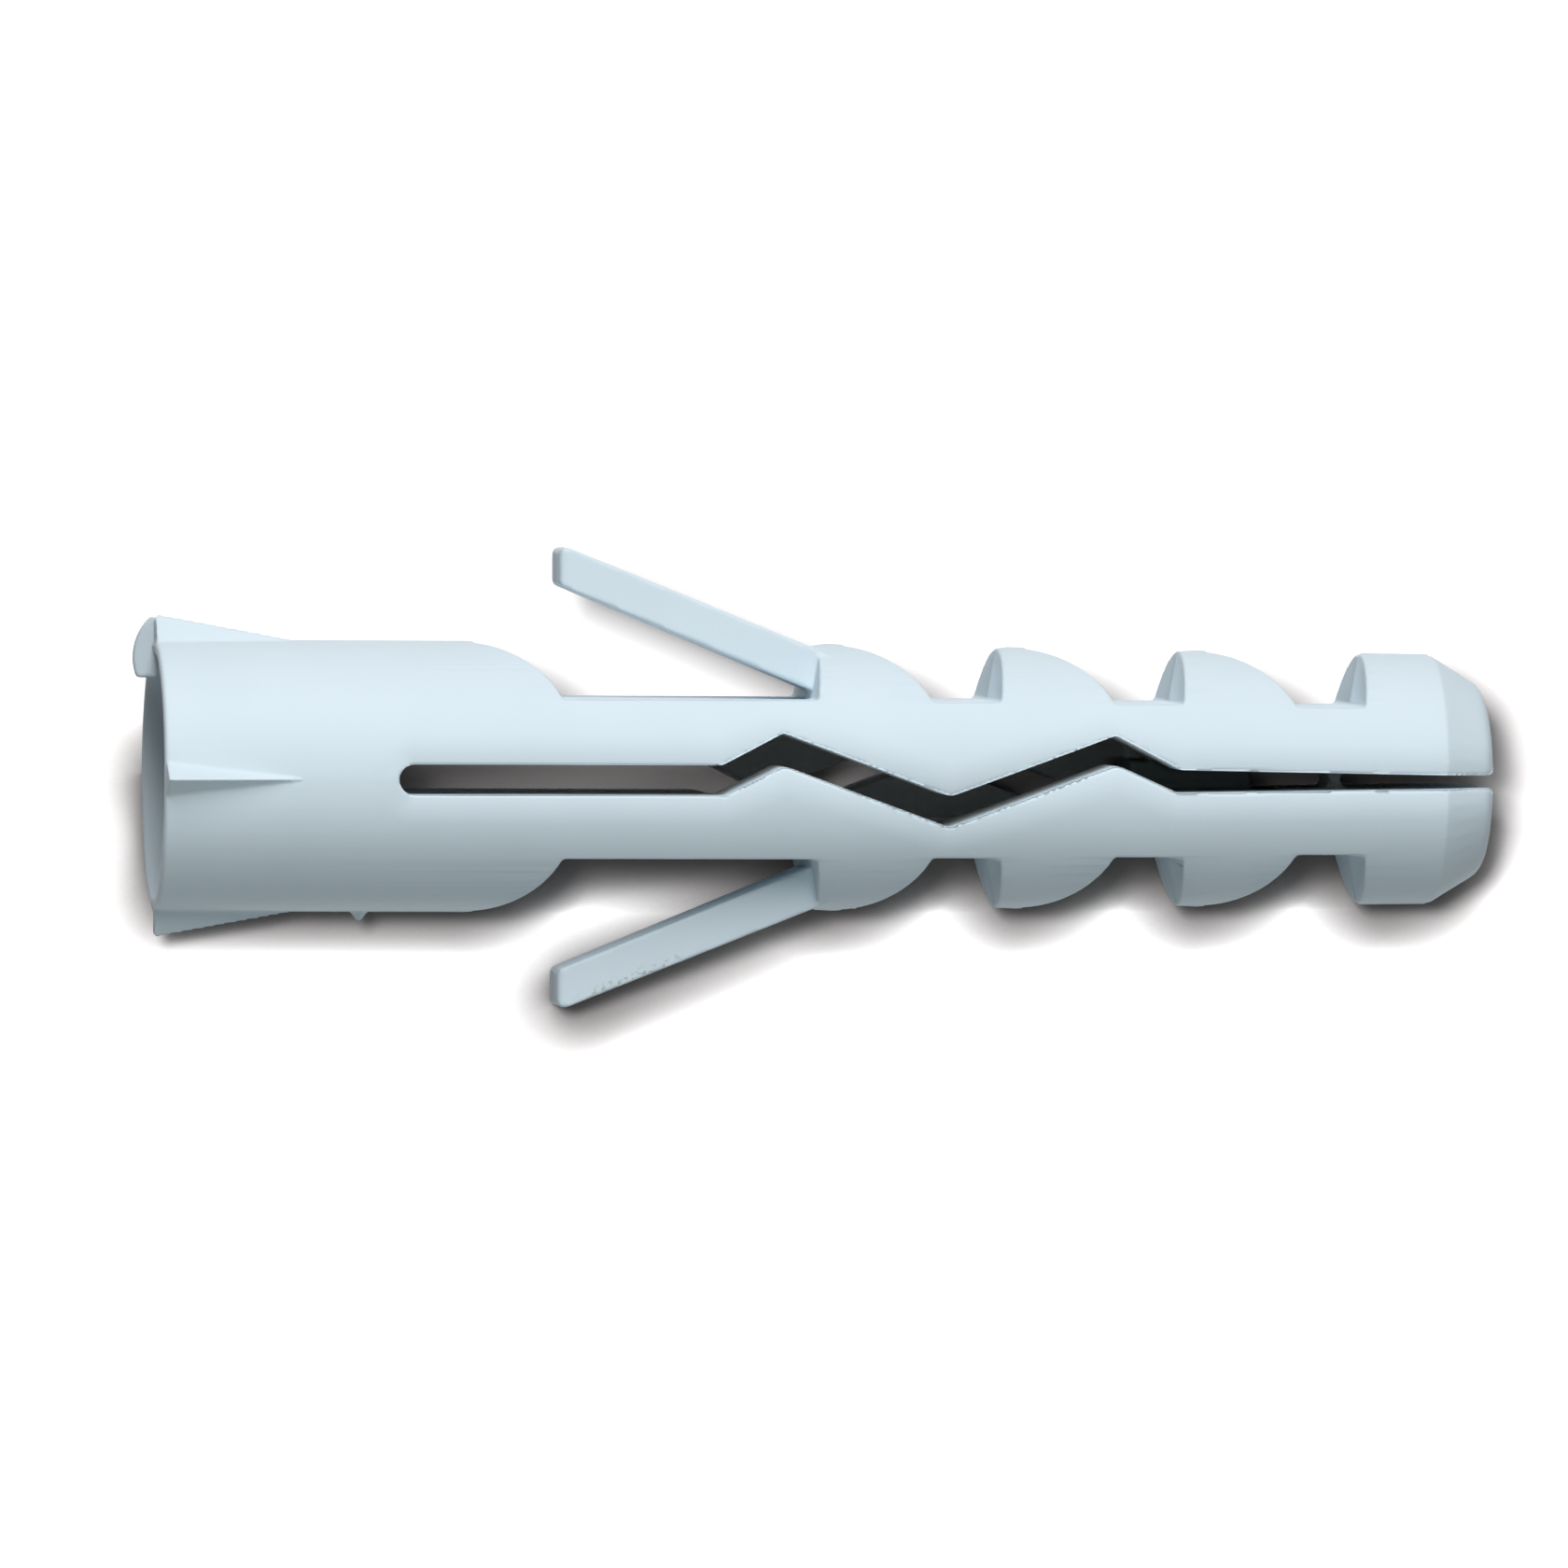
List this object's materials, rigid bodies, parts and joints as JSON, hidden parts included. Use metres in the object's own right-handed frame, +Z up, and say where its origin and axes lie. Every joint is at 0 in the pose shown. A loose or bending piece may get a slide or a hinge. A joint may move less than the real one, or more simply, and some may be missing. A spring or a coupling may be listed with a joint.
{
  "type": "wall plug",
  "caption": "Moulded nylon expansion plug for a drilled wall hole: round collar with fins, swept wings, stepped teeth and legs split by a zigzag slot, which a screw spreads",
  "frame": {"origin": "Centre of the mouth, on the plug's axis", "axes": "+X runs along the plug's axis from the mouth to the tip, +Z is up as the plug lies at rest, and +Y completes a right-handed frame"},
  "size_m": [0.0405, 0.0132, 0.0086],
  "materials": {
    "nylon": "pale blue-grey moulded nylon with a soft satin surface and softly rounded edges"
  },
  "bodies": {
    "root": {"wall_plug": "nylon"}
  },
  "joints": []
}
